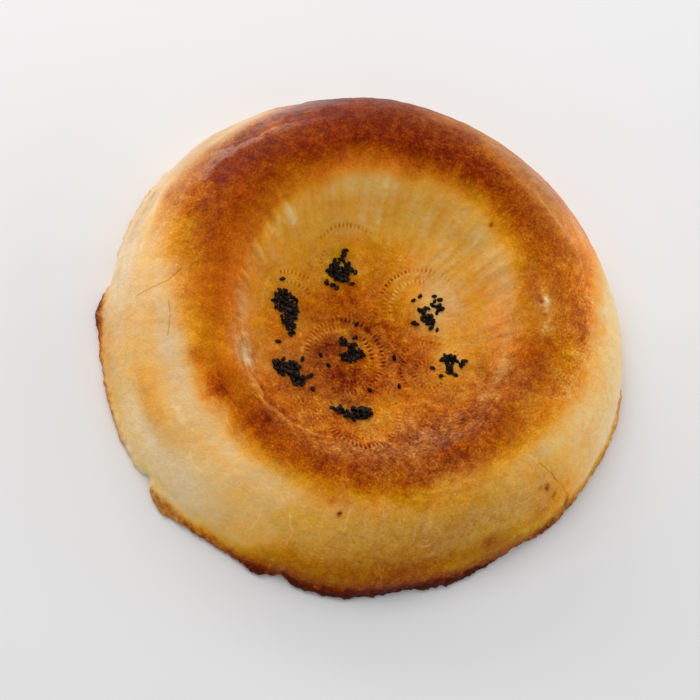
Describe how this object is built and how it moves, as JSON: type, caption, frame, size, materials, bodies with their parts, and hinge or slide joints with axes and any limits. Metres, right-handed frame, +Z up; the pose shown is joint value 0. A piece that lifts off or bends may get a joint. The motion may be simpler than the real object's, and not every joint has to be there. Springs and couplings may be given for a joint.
{
  "type": "round flatbread",
  "caption": "Round tandoor flatbread with a puffed browned ring, a thin stamped middle and pinches of black seeds baked on to it.",
  "frame": {"origin": "centre of the bread's box in plan, on the surface it rests on", "axes": "+Z up through the bread's thin middle; +Y towards the higher side of the ring"},
  "size_m": [0.24, 0.2358, 0.0541],
  "materials": {
    "crust": "baked wheat crust, cream to deep brown, satin where it was glazed",
    "seeds": "dry black seeds, matt with a faint sheen"
  },
  "bodies": {
    "root": {"flatbread": "crust"}
  },
  "joints": []
}
